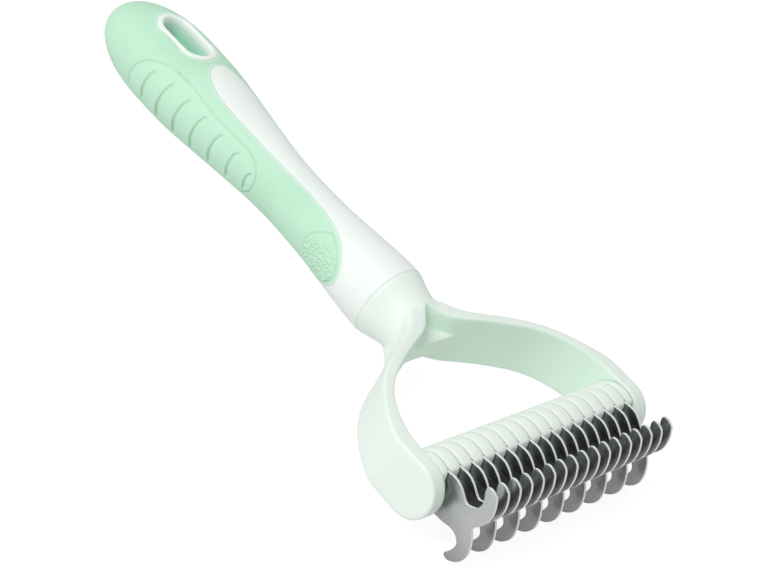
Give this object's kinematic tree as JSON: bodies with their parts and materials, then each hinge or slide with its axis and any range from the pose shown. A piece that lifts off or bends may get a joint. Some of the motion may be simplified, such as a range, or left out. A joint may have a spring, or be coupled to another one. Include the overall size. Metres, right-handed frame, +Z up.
{
  "type": "deshedding tool",
  "caption": "Double-sided coat rake: hooked steel blades on a ribbed bar in a wide fork, with a soft-gripped handle and a hang slot.",
  "frame": {"origin": "under the middle of the tool, at the level of the surface it rests on", "axes": "+Y from the teeth to the butt of the handle, X along the blade bar, +Z up out of the side that the fine hooks point to"},
  "size_m": [0.091, 0.1924, 0.0248],
  "materials": {
    "white_plastic": "satin moulded",
    "mint_plastic": "satin moulded",
    "soft_grip": "soft matt overmould",
    "steel_blade": "polished faces with ground edges",
    "rod_steel": "drawn wire"
  },
  "bodies": {
    "root": {"handle_core": "white_plastic", "grip_sleeve": "soft_grip", "yoke": "mint_plastic", "blade_double_1": "steel_blade", "blade_double_2": "steel_blade", "blade_double_3": "steel_blade", "blade_double_4": "steel_blade", "blade_double_5": "steel_blade", "blade_double_6": "steel_blade", "blade_double_7": "steel_blade", "blade_double_8": "steel_blade", "blade_double_9": "steel_blade", "blade_single_1": "steel_blade", "blade_single_2": "steel_blade", "blade_single_3": "steel_blade", "blade_single_4": "steel_blade", "blade_single_5": "steel_blade", "blade_single_6": "steel_blade", "blade_single_7": "steel_blade", "blade_single_8": "steel_blade", "spacer_01": "mint_plastic", "spacer_02": "mint_plastic", "spacer_03": "mint_plastic", "spacer_04": "mint_plastic", "spacer_05": "mint_plastic", "spacer_06": "mint_plastic", "spacer_07": "mint_plastic", "spacer_08": "mint_plastic", "spacer_09": "mint_plastic", "spacer_10": "mint_plastic", "spacer_11": "mint_plastic", "spacer_12": "mint_plastic", "spacer_13": "mint_plastic", "spacer_14": "mint_plastic", "spacer_15": "mint_plastic", "spacer_16": "mint_plastic", "end_spacer_left": "mint_plastic", "end_spacer_right": "mint_plastic", "rod_upper": "rod_steel", "rod_lower": "rod_steel"}
  },
  "joints": []
}
